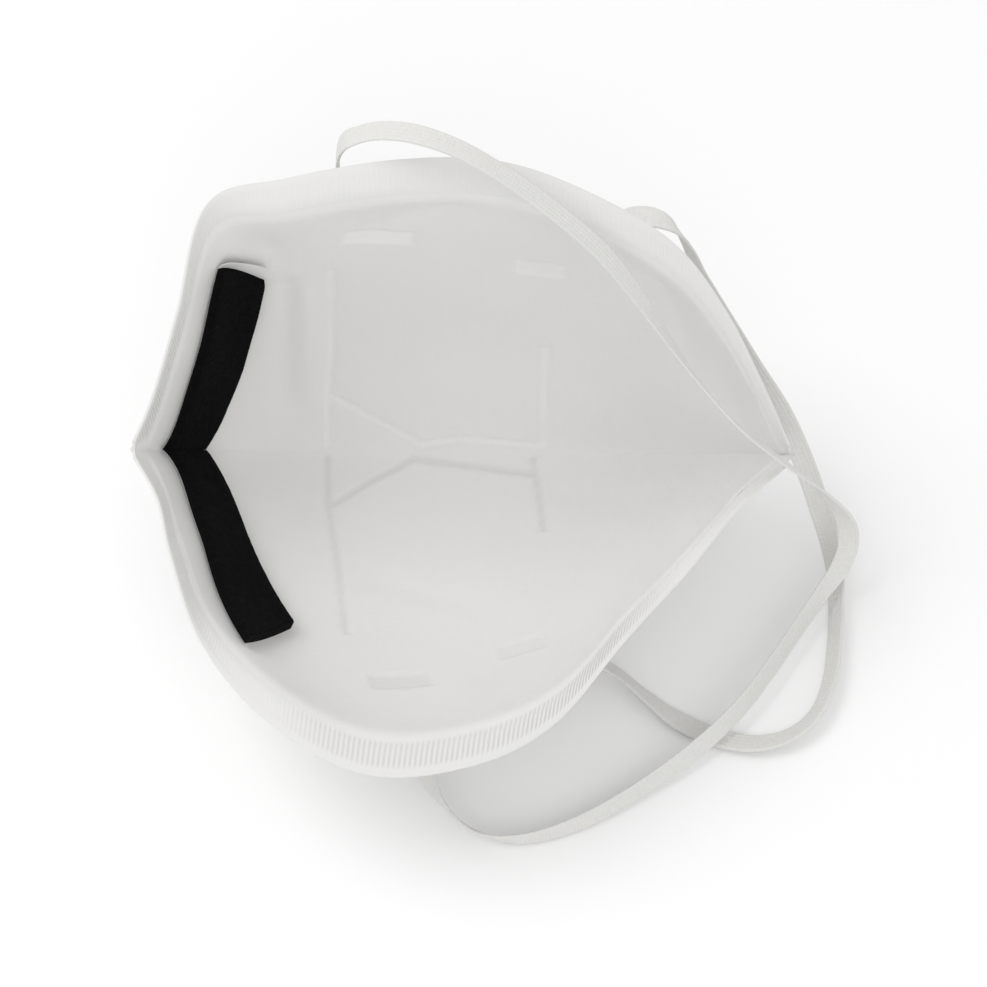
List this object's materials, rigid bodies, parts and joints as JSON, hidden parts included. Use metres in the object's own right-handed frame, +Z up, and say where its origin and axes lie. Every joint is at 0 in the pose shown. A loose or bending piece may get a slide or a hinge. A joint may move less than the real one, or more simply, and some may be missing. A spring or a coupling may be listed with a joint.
{
  "type": "disposable dust mask",
  "caption": "Fold-flat fabric face mask with welded rim, foam and metal nose clip, and flat elastic headbands, lying open on its side.",
  "frame": {"origin": "centre of the footprint on the ground, headbands left out", "axes": "+X from the nose tip to the chin tip along the centre fold, +Z up as the mask lies on its outer face, +Y towards the wearer's right half, which stands up"},
  "size_m": [0.1699, 0.1275, 0.1107],
  "materials": {
    "outer_fabric": "fine spunbond nonwoven, off-white, matt",
    "felt": "soft needled felt, white",
    "filter_fabric": "melt-blown web, white, smooth",
    "lining_fabric": "fine spunbond nonwoven, off-white, matt",
    "welded_fabric": "layers pressed and welded with fine cross ribs",
    "clip_aluminium": "soft rolled strip",
    "foam_backing": "thin white backing strip",
    "nose_foam": "soft open-cell foam, black, matt",
    "elastic": "woven flat elastic, off-white"
  },
  "bodies": {
    "left_half": {"outer_cover_left": "outer_fabric", "support_felt_left": "felt", "filter_sheet_left": "filter_fabric", "inner_lining_left": "lining_fabric", "edge_weld_left": "welded_fabric", "nose_seam_weld": "welded_fabric", "chin_seam_weld": "welded_fabric", "nose_clip": "clip_aluminium", "foam_backing": "foam_backing", "nose_foam": "nose_foam", "crown_headband": "elastic", "neck_headband": "elastic"},
    "right_half": {"outer_cover_right": "outer_fabric", "support_felt_right": "felt", "filter_sheet_right": "filter_fabric", "inner_lining_right": "lining_fabric", "edge_weld_right": "welded_fabric"}
  },
  "joints": [
    {"name": "centre_fold", "type": "hinge", "parent": "left_half", "child": "right_half", "pos_m": [0, 0.0413, 0.0029], "axis": [1, 0, 0], "range_deg": [0, 68], "deforming": ["outer_cover_left", "support_felt_left", "filter_sheet_left", "inner_lining_left", "edge_weld_left", "outer_cover_right", "support_felt_right", "filter_sheet_right", "inner_lining_right", "edge_weld_right", "nose_seam_weld", "chin_seam_weld", "nose_clip", "foam_backing", "nose_foam", "crown_headband", "neck_headband"]}
  ]
}
